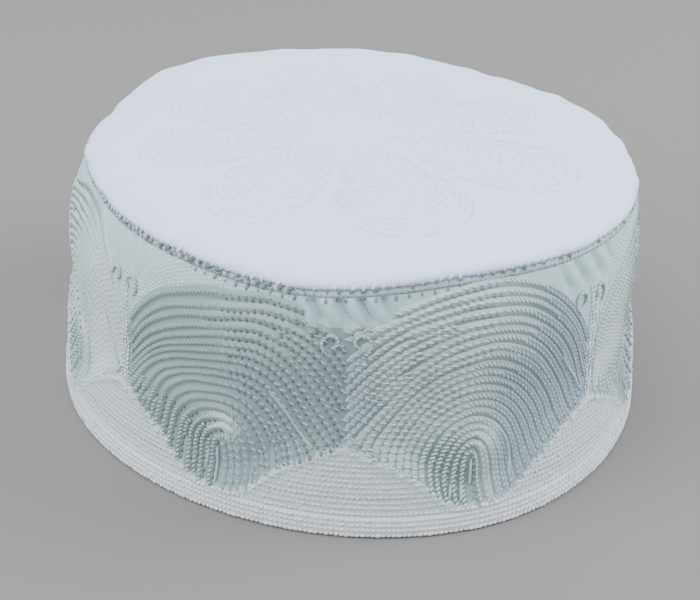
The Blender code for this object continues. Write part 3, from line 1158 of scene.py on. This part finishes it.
def fold_line(motif, fold):
    """A drawn fold of a motif as a smooth line on the cloth."""
    count = 12 * len(fold[0])
    aside, heights = [smooth_line(np.array(row) / 1000, count) for row in fold]
    return cloth_line(motif + 0.5 + aside, heights, FOLD_LIFT, tone=0.52)


folds = []
for motif in range(MOTIFS):
    for fold in TENT_FOLDS if is_tent(motif) else ROUND_FOLDS:
        folds.append(fold_line(motif, fold))
lay_cords("pinched_folds", folds, TENT_CORD, FOLD_HALF_WIDTH, FOLD_HEIGHT, FOLD_STEP)

# %% [markdown]
# The corners between the feet of the motifs and the lower band are filled with close straight
# rows of finer, whiter stitches. They run parallel to the hem and turn up a little where they
# meet a motif. A row follows the cloth by itself here, because it is given by its height alone.

# %% Straight rows of the corners
CORNER_PITCH = 0.0232
LOWEST_CORNER_ROW = 0.1305
HIGHEST_CORNER_ROW = 0.385
LOWER_ROW_HEIGHT = 0.1045
ROUND_THE_CAP = np.linspace(0.0, MOTIFS, 641)


def corner_lines():
    lines = []
    foot = np.linspace(0.0, 0.5, 200)
    foot_heights = read_table(MOTIF_FOOT, foot)
    for border in range(MOTIFS):
        for height in np.arange(LOWEST_CORNER_ROW, HIGHEST_CORNER_ROW, CORNER_PITCH):
            half = 0.5 - float(np.interp(height + 0.004, foot_heights, foot))
            if half < 0.02:
                continue
            motifs = border + np.linspace(-half, half, 60)
            rise = 0.008 * (np.abs(motifs - border) / half) ** 6
            rise = rise + 0.0012 * np.sin(24.0 * motifs + 90.0 * height)
            lines.append(cloth_line(motifs, height + rise, 0.00002, tint=0.32))
    return lines


corner_stitch = (1.35, 1.60, 1.05, 0.24, 14.0, 0.34)
lower_stitch = (1.35, 1.60, 1.05, 0.28, 14.0, 0.34)
lower_row = cloth_line(ROUND_THE_CAP, LOWER_ROW_HEIGHT, 0.0001, tint=0.6)
sew("corner_stitches", corner_lines(), WHITE_COTTON, corner_stitch, 21)
sew("lower_rows", [lower_row], WHITE_COTTON, lower_stitch, 22)

# %% [markdown]
# Beside every second border the pale edge of a motif stands up like a fringe. High between two
# motifs a pair of small curls is sewn over a cord, fine broken rows cross the plain cloth above
# the round motifs, and one row of needle holes runs across each corner, sewn as dark beads of
# painted shade.

# %% Fringe, curls, fine rows and needle holes
FRINGE_OFFSETS = (0.003, 0.014, 0.025, 0.036)
FINE_ROW_HEIGHTS = np.arange(0.018, 0.120, 0.0145)
HOLE_HEIGHT = 0.1770


def fringe_lines():
    lines = []
    heights = np.linspace(0.405, 0.86, 60)
    for border in range(1, MOTIFS, 2):
        for offset in FRINGE_OFFSETS:
            motifs = border + offset + 0.003 * np.sin(heights * 40.0 + offset * 300.0)
            lines.append(cloth_line(motifs, heights, 0.0001, tint=0.45))
    return lines


def curl_lines(lift):
    """A pair of spirals at each border, one turning each way."""
    lines = []
    turn = np.linspace(-0.35 * pi, 1.35 * pi, 48)
    reach = CURL_REACH * (1.0 - 0.66 * (turn - turn[0]) / (turn[-1] - turn[0]))
    heights = CURL_HEIGHT + reach * np.sin(turn) / SEAM_HEIGHT
    for border in range(MOTIFS):
        for side in (-1, 1):
            motifs = border + side * (CURL_ASIDE + reach * np.cos(turn) / MOTIF_WIDTH)
            line = cloth_line(motifs, heights, 0.0003, tint=0.4, tone=0.34)
            line["points"] = line["points"] + lift * line["facing"]
            lines.append(line)
    return lines


def top_dot_lines():
    """Fine rows on the plain cloth between the highest arch and the seam."""
    lines = []
    for motif in range(1, MOTIFS, 2):
        across, heights = arch_places(motif, ROUND_TOP)
        for above in FINE_ROW_HEIGHTS:
            keep = (across > -0.43) & (across < 0.24) & (heights + above < 0.985)
            for run in unbroken_runs(keep):
                places = motif + 0.5 + across[run]
                lines.append(cloth_line(places, heights[run] + above, 0.0, tint=0.92))
    return lines


def hole_lines():
    lines = []
    for border in range(MOTIFS):
        motifs = border + np.linspace(-0.27, 0.25, 60)
        heights = HOLE_HEIGHT + 0.004 * np.sin(3.0 * (motifs - border))
        lines.append(cloth_line(motifs, heights, 0.00015, tint=0.0))
    return lines


fringe_stitch = (1.25, 1.7, 0.70, 0.35, -22.0, 0.3)
curl_stitch = (0.95, 1.2, 0.5, 0.3, -40.0, 0.2)
fine_stitch = (1.50, 1.3, 0.52, 0.36, -30.0, 0.4)
needle_hole_shade = (1.50, 0.8, 0.5, 0.35, 0.0, 0.1)
sew("border_fringe", fringe_lines(), WHITE_COTTON, fringe_stitch, 24)
lay_cords("curl_cords", curl_lines(0.0), TENT_CORD, 0.00052, 0.00028, 0.0008)
sew("border_curls", curl_lines(0.0003), TENT_THREAD, curl_stitch, 25)
sew("top_dots", top_dot_lines(), ROUND_THREAD, fine_stitch, 27)
sew("needle_holes", hole_lines(), HOLE_SHADE, needle_hole_shade, 26)

# %% [markdown]
# The hem is a folded strip. Its section is a tall rounded rectangle carried round the cap, with
# a flat foot where it stands on the ground. It carries the last four straight rows, which lie on
# the hem's own outside and not on the dished cloth.

# %% The hem
HEM_COLUMNS = np.arange(480) * MOTIFS / 480
HEM_ROW_HEIGHTS = (0.014, 0.036, 0.058, 0.080)
HEM_ROW_LIFT = 0.00055

# Section of the hem: height above the ground and distance in from the wall's outside, in metres
HEM_SECTION = (
    (0.0, 0.0006),
    (0.0003, 0.0000),
    (0.0010, -0.0004),
    (0.0022, -0.0005),
    (0.0044, -0.0004),
    (0.0060, -0.0001),
    (0.0067, 0.0006),
    (0.0067, 0.0018),
    (0.0060, 0.0022),
    (0.0030, 0.0024),
    (0.0006, 0.0022),
    (0.0, 0.0017),
)
hem_rings = []
for height, inward in HEM_SECTION:
    hem_rings.append(wall_points(HEM_COLUMNS, height / SEAM_HEIGHT, inward))
hem_roll = solid_from_rings("hem_roll", hem_rings, HEM_CLOTH)

hem_lines = []
for height in HEM_ROW_HEIGHTS:
    line = cloth_line(ROUND_THE_CAP, height, 0.0, tint=0.65)
    line["points"] = wall_points(ROUND_THE_CAP, height, -HEM_ROW_LIFT)
    hem_lines.append(line)
hem_stitch = (1.35, 1.60, 1.00, 0.27, 14.0, 0.34)
sew("hem_stitches", hem_lines, WHITE_COTTON, hem_stitch, 23, "hem_cloth")

# %% [markdown]
# The crown is a flat pad whose rim turns down to the seam. Its outline is read from a table of
# ring shares and rises, and it is closed below by the same outline set in by the wall. Its rim
# wavers a little, because the cloth is gathered there.

# %% The crown
CROWN_PROFILE = (
    (1.004, 0.20),
    (1.006, 0.34),
    (1.000, 0.48),
    (0.990, 0.58),
    (0.975, 0.66),
    (0.950, 0.735),
    (0.91, 0.80),
    (0.85, 0.85),
    (0.76, 0.89),
    (0.64, 0.93),
    (0.50, 0.96),
    (0.34, 0.98),
    (0.18, 0.995),
    (0.06, 1.00),
)
CROWN_COLUMNS = 400
RIM_WAVER = 0.00045
crown_angles = np.linspace(0.0, 2 * pi, CROWN_COLUMNS, endpoint=False)


def crown_points(angles, share, rise, inward=0.0, downward=0.0):
    """Points at a share of the seam ring and a rise above it, set in and down by distances."""
    outward, upward = seam_slack(angles)
    radius = share * (seam_radius(angles) + outward) - inward
    x = SEAM_SHIFT[0] + radius * np.cos(angles)
    y = SEAM_SHIFT[1] + radius * np.sin(angles)
    z = SEAM_HEIGHT + upward * share**2 + rise - downward
    return np.stack([x, y, z], axis=-1)


def rim_waver(angles):
    return RIM_WAVER * (0.5 * np.sin(23 * angles + 0.7) + 0.3 * np.sin(37 * angles) - 0.2)


def crown_rings():
    """Rings over the crown from its rim to its middle, and the same set in by the cloth."""
    over, under = [], []
    places = np.array(CROWN_PROFILE) * ((SEAM_HALF_X + SEAM_HALF_Y) / 2, CROWN_HEIGHT)
    for row, (share, part) in enumerate(CROWN_PROFILE):
        before = places[max(row - 1, 0)]
        after = places[min(row + 1, len(places) - 1)]
        slope = np.arctan2(after[1] - before[1], before[0] - after[0]) if row else pi / 2
        rise = part * CROWN_HEIGHT
        inward = min(CROWN_WALL * np.sin(slope), 0.9 * places[row][0])
        waver = rim_waver(crown_angles) * rising(share, 0.75, 0.2)
        over.append(crown_points(crown_angles, share, rise + 0.4 * waver, -waver))
        under.append(crown_points(crown_angles, share, rise, inward, CROWN_WALL * np.cos(slope)))
    return over, under


def pad_from_rings(name, over, under, finish):
    """A closed pad: rings over and under it from the rim inwards, and a fan over each middle."""
    count = len(over[0])
    rings = over[::-1] + under
    middles = np.array([over[-1].mean(axis=0), under[-1].mean(axis=0)])
    column = np.arange(count)
    after = (column + 1) % count
    faces = []
    for ring in range(len(rings) - 1):
        low, high = ring * count, (ring + 1) * count
        faces += np.stack([low + column, high + column, high + after, low + after], 1).tolist()
    top, bottom = len(rings) * count, len(rings) * count + 1
    last = (len(rings) - 1) * count
    faces += np.stack([column, after, np.full(count, top)], 1).tolist()
    faces += np.stack([last + after, last + column, np.full(count, bottom)], 1).tolist()
    return new_piece(name, np.concatenate(rings + [middles]), (), faces, finish)


crown_pad = pad_from_rings("crown_pad", *crown_rings(), CROWN_CLOTH)
print("crown faces:", len(crown_pad.data.polygons))

# %% [markdown]
# White on white, the crown carries a flower of eight petals. Each petal is again a nest of
# arches with their tops outward, so it can be drawn by turning one petal's arches round. The real
# rows show only here and there, so each arch is broken into short dotted runs. Their thread is
# painted a little darker than the crown, as painted shade along the sewn rows.

# %% The crown's white flower
PETALS = 8
PETAL_NOTCH_ANGLE = radians(237.0)
PETAL_HALF_WIDTH = radians(22.5)
PETAL_EYE = 0.13
PETAL_TIP = 0.82
PETAL_PITCH = 0.038
PETAL_ROUNDNESS = 0.62
SHOWN_SHARE = 0.60
BREAK_LEVEL = -0.62
BACK_SHORTER = 0.15
FLOWER_LIFT = 0.00001
FLOWER_STITCH = (1.9, 1.7, 0.78, 0.40, 12.0, 0.45)


def crown_line(angles, shares):
    """A line of sewing on the crown, at angles and shares of its radius."""
    profile = [(share, rise) for share, rise in CROWN_PROFILE[::-1] if share <= 1.0]
    rise = CROWN_HEIGHT * read_table(profile, shares) + FLOWER_LIFT
    upward = np.tile((0.0, 0.0, 1.0), (len(rise), 1))
    return sewing_line(crown_points(angles, shares, rise), upward)


def petal_lines():
    lines = []
    turn = np.linspace(0.0, pi, 60)
    for petal in range(PETALS):
        axis = PETAL_NOTCH_ANGLE + 2 * pi * (petal + 0.5) / PETALS
        longest = PETAL_TIP - BACK_SHORTER * float(nearness(axis, 65, 60))
        for tip in np.arange(longest, PETAL_EYE + 0.03, -PETAL_PITCH):
            wide = PETAL_HALF_WIDTH * min(1.0, (tip - PETAL_EYE + 0.05) / 0.26)
            angles = axis - wide * np.cos(turn)
            shares = PETAL_EYE + (tip - PETAL_EYE) * np.sin(turn) ** PETAL_ROUNDNESS
            keep = shares > PETAL_EYE + SHOWN_SHARE * (tip - PETAL_EYE)
            keep &= np.sin(31.0 * angles + 190.0 * tip) > BREAK_LEVEL
            lines += [crown_line(angles[run], shares[run]) for run in unbroken_runs(keep, 4)]
    return lines


sew("crown_flower", petal_lines(), CROWN_STITCH_SHADE, FLOWER_STITCH, 51, "crown_cloth")

# %% [markdown]
# The seam between crown and side is overcast: close upright stitches wrap a thin roll of cloth.
# The needle leaves dark holes above them, larger ones and a second row of blots towards the left
# of the picture, and ticks below the seam in front; holes, blots and ticks are dark beads of
# painted shade where the thread dives into the cloth. Specks of white thread stand out on its top.

# %% The seam
WELT_DEPTH = 0.0022
WELT_COLUMNS = 480
WELT_SIDES = 12
WELT_OUT = 0.0003
SEAM_ANGLES = np.linspace(0.0, 2 * pi, 721)
LEFT_SIDE = nearness(SEAM_ANGLES, 212, 22)
PALE_LEFT = nearness(SEAM_ANGLES, 196, 34)


def welt_rings():
    columns = np.linspace(0.0, 2 * pi, WELT_COLUMNS, endpoint=False)
    rings = []
    for step in range(WELT_SIDES):
        turn = 2 * pi * (step + 0.5) / WELT_SIDES
        across = WELT_DEPTH / 2 * (1 - cos(turn)) - WELT_OUT
        rings.append(crown_points(columns, 1.0, WELT_HEIGHT / 2 * sin(turn), across))
    return rings


def seam_line(rise, lift, **values):
    """A line of sewing round the seam, at a rise above it and lifted off its roll."""
    upward = np.full(len(SEAM_ANGLES), 0.25)
    facing = unit(np.stack([np.cos(SEAM_ANGLES), np.sin(SEAM_ANGLES), upward], axis=-1))
    return sewing_line(crown_points(SEAM_ANGLES, 1.0, rise, -lift), facing, **values)


welt = solid_from_rings("seam_welt", welt_rings(), SEAM_CLOTH)
overcast = seam_line(0.0002, 0.0001, tint=0.16 + 0.25 * PALE_LEFT)
upper_holes = seam_line(0.0010, 0.00045, plump=1.0 + LEFT_SIDE, reach=1.0 + 0.5 * LEFT_SIDE)
left_blots = cut_line(seam_line(0.0001, 0.00055), LEFT_SIDE > 0.25)
below_seam = cloth_line(np.linspace(-0.62, 0.40, 92), 0.980, 0.0001)
white_specks = seam_line(0.0019, 0.0003, reach=1.0 + 0.6 * PALE_LEFT)

# Piece, its lines, its finish, sizes in mm, slant and unevenness, and seed
for name, lines, finish, stitch, seed in (
    ("seam_overcast", [overcast], WHITE_COTTON, (1.35, 2.1, 0.95, 0.40, 76.0, 0.25), 31),
    ("seam_holes", [upper_holes], SEAM_HOLE_SHADE, (2.9, 1.3, 0.85, 0.22, 48.0, 0.6), 32),
    ("seam_blots", left_blots, SEAM_HOLE_SHADE, (2.1, 1.3, 0.80, 0.22, 70.0, 0.6), 37),
    ("seam_ticks", [below_seam], SEAM_HOLE_SHADE, (3.1, 1.4, 0.85, 0.32, 80.0, 0.35), 34),
    ("seam_specks", [white_specks], CROWN_CLOTH, (2.3, 1.6, 0.70, 0.5, 72.0, 0.5), 33),
):
    sew(name, lines, finish, stitch, seed, "seam_thread")

# %% [markdown]
# Every piece is tied to the solids: the shells stand for the solids that they follow, and the
# stitches ride on them. The crown is a pad, and the side a sheet of cloth held stretched between
# the hem and the crown.

# %% Tie the pieces to the solids
for piece, node, slot in (
    (band_shell, "side_band", "band_cloth"),
    (hem_roll, "hem_fold", "hem_cloth"),
    (crown_pad, "crown_panel", "crown_cloth"),
    (welt, "crown_seam_welt", "seam_thread"),
):
    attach(piece, "root")
    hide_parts(node)
for piece, slot in sewn_pieces:
    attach(piece, "root")
everything = [band_shell, hem_roll, crown_pad, welt] + [piece for piece, slot in sewn_pieces]
counts = [triangle_count(piece) for piece in everything]
print("pieces:", len(counts), "triangles:", sum(counts), "most in one:", max(counts))

# %% [markdown]
# The cap stands on a plain floor under soft light: a pale sky all round and three large lamps,
# because the photograph shows no hard shadow.

# %% Floor and light
FLOOR_HALF = 4.0
FLOOR_TONE = (0.199, 0.189, 0.181, 1.0)
SKY_TONE = (0.90, 0.945, 1.0, 1.0)
SKY_STRENGTH = 1.29
LAMP_AIM = Vector((0.0, 0.0, 0.04))

# Soft lamps: name, place, size in metres, power in watts
LAMPS = (
    ("key_light", (-0.45, -0.05, 1.5), 1.2, 20.0),
    ("left_light", (-1.4, 0.1, 0.7), 1.0, 12.0),
    ("right_light", (1.3, -0.5, 0.65), 1.0, 27.0),
)

floor_finish = bpy.data.materials.new("floor_paper")
floor_finish.use_nodes = True
floor_shader = floor_finish.node_tree.nodes["Principled BSDF"]
floor_shader.inputs["Base Color"].default_value = FLOOR_TONE
floor_shader.inputs["Roughness"].default_value = 0.9
floor_corners = FLOOR_HALF * np.array(((-1, -1, 0), (1, -1, 0), (1, 1, 0), (-1, 1, 0)))
floor = new_piece("floor", floor_corners, (), [(0, 1, 2, 3)], floor_finish)

world = bpy.data.worlds.new("soft_room")
bpy.context.scene.world = world
world.use_nodes = True
world.node_tree.nodes["Background"].inputs["Color"].default_value = SKY_TONE
world.node_tree.nodes["Background"].inputs["Strength"].default_value = SKY_STRENGTH

for name, place, size, power in LAMPS:
    lamp = bpy.data.lights.new(name, "AREA")
    lamp.size = size
    lamp.energy = power
    holder = bpy.data.objects.new(name, lamp)
    holder.location = place
    holder.rotation_euler = (LAMP_AIM - Vector(place)).to_track_quat("-Z", "Y").to_euler()
    bpy.context.scene.collection.objects.link(holder)
print("lamps:", len(LAMPS))

# %% [markdown]
# The camera looks from above and a little to the left, through a lens long enough to keep the
# cap's outline calm. A small shift places the cap in the frame without turning the camera.

# %% Camera
CAMERA_TURN = radians(-25.084)
CAMERA_TILT = radians(30.883)
CAMERA_ROLL = radians(-0.466)
CAMERA_DISTANCE = 0.3999
PICTURE_WIDTH = 700
PICTURE_HEIGHT = 600
FOCAL_PIXELS = 1234.9
CENTRE_PIXEL = (343.95, 345.99)
SENSOR_WIDTH = 36.0

back = Vector((
    sin(CAMERA_TURN) * cos(CAMERA_TILT),
    -cos(CAMERA_TURN) * cos(CAMERA_TILT),
    sin(CAMERA_TILT),
))
camera_data = bpy.data.cameras.new("camera")
camera_data.sensor_width = SENSOR_WIDTH
camera_data.lens = FOCAL_PIXELS * SENSOR_WIDTH / PICTURE_WIDTH
camera_data.shift_x = (PICTURE_WIDTH / 2 - CENTRE_PIXEL[0]) / PICTURE_WIDTH
camera_data.shift_y = (CENTRE_PIXEL[1] - PICTURE_HEIGHT / 2) / PICTURE_WIDTH
camera_data.clip_start = 0.01
camera = bpy.data.objects.new("camera", camera_data)
aim = (-back).to_track_quat("-Z", "Y").to_matrix().to_4x4()
roll = Matrix.Rotation(CAMERA_ROLL, 4, "Z")
camera.matrix_world = Matrix.Translation(back * CAMERA_DISTANCE) @ aim @ roll
bpy.context.scene.collection.objects.link(camera)
bpy.context.scene.camera = camera
print("lens, mm:", round(camera_data.lens, 1))
